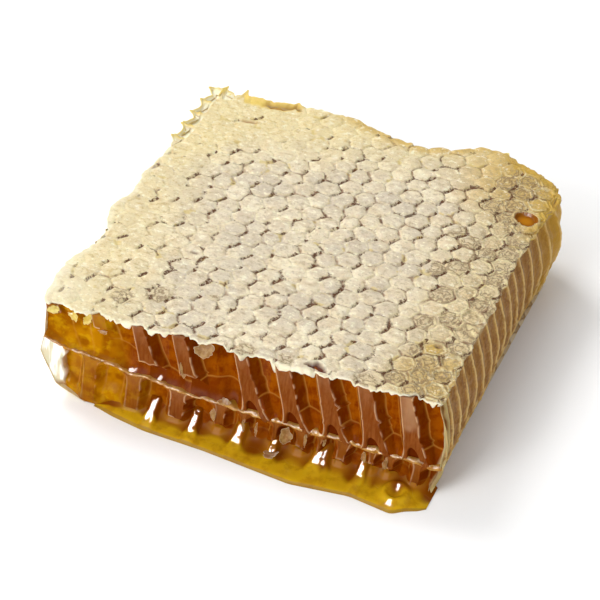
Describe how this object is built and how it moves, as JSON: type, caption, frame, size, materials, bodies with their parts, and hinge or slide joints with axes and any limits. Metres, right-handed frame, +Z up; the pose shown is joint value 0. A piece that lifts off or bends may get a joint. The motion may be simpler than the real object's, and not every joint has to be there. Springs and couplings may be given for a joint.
{
  "type": "honeycomb piece",
  "caption": "Thick, nearly square cut of capped honeycomb: two layers of honey-filled wax cells on a shared midrib, with honey pooled at the foot of the cut face.",
  "frame": {"origin": "bottom centre of the whole piece, on the surface it rests on", "axes": "+Z up through the cells, +X along the cut front face towards the right, +Y from the cut face to the back"},
  "size_m": [0.0932, 0.1078, 0.0259],
  "materials": {
    "wax_capping": "dry, pale cream beeswax cappings, softly domed and wrinkled, with brown hollows where cells meet",
    "wax_wall": "thin tan beeswax, slightly see-through, pale along torn edges",
    "honey_in_wax": "deep amber honey behind thin wax walls, wet and glossy",
    "honey": "clear golden honey, wet, with sharp highlights"
  },
  "bodies": {
    "root": {"capping_top": "wax_capping", "comb_upper": "honey_in_wax", "midrib": "wax_wall", "comb_lower": "honey_in_wax", "capping_bottom": "wax_capping", "honey_pool": "honey"}
  },
  "joints": []
}
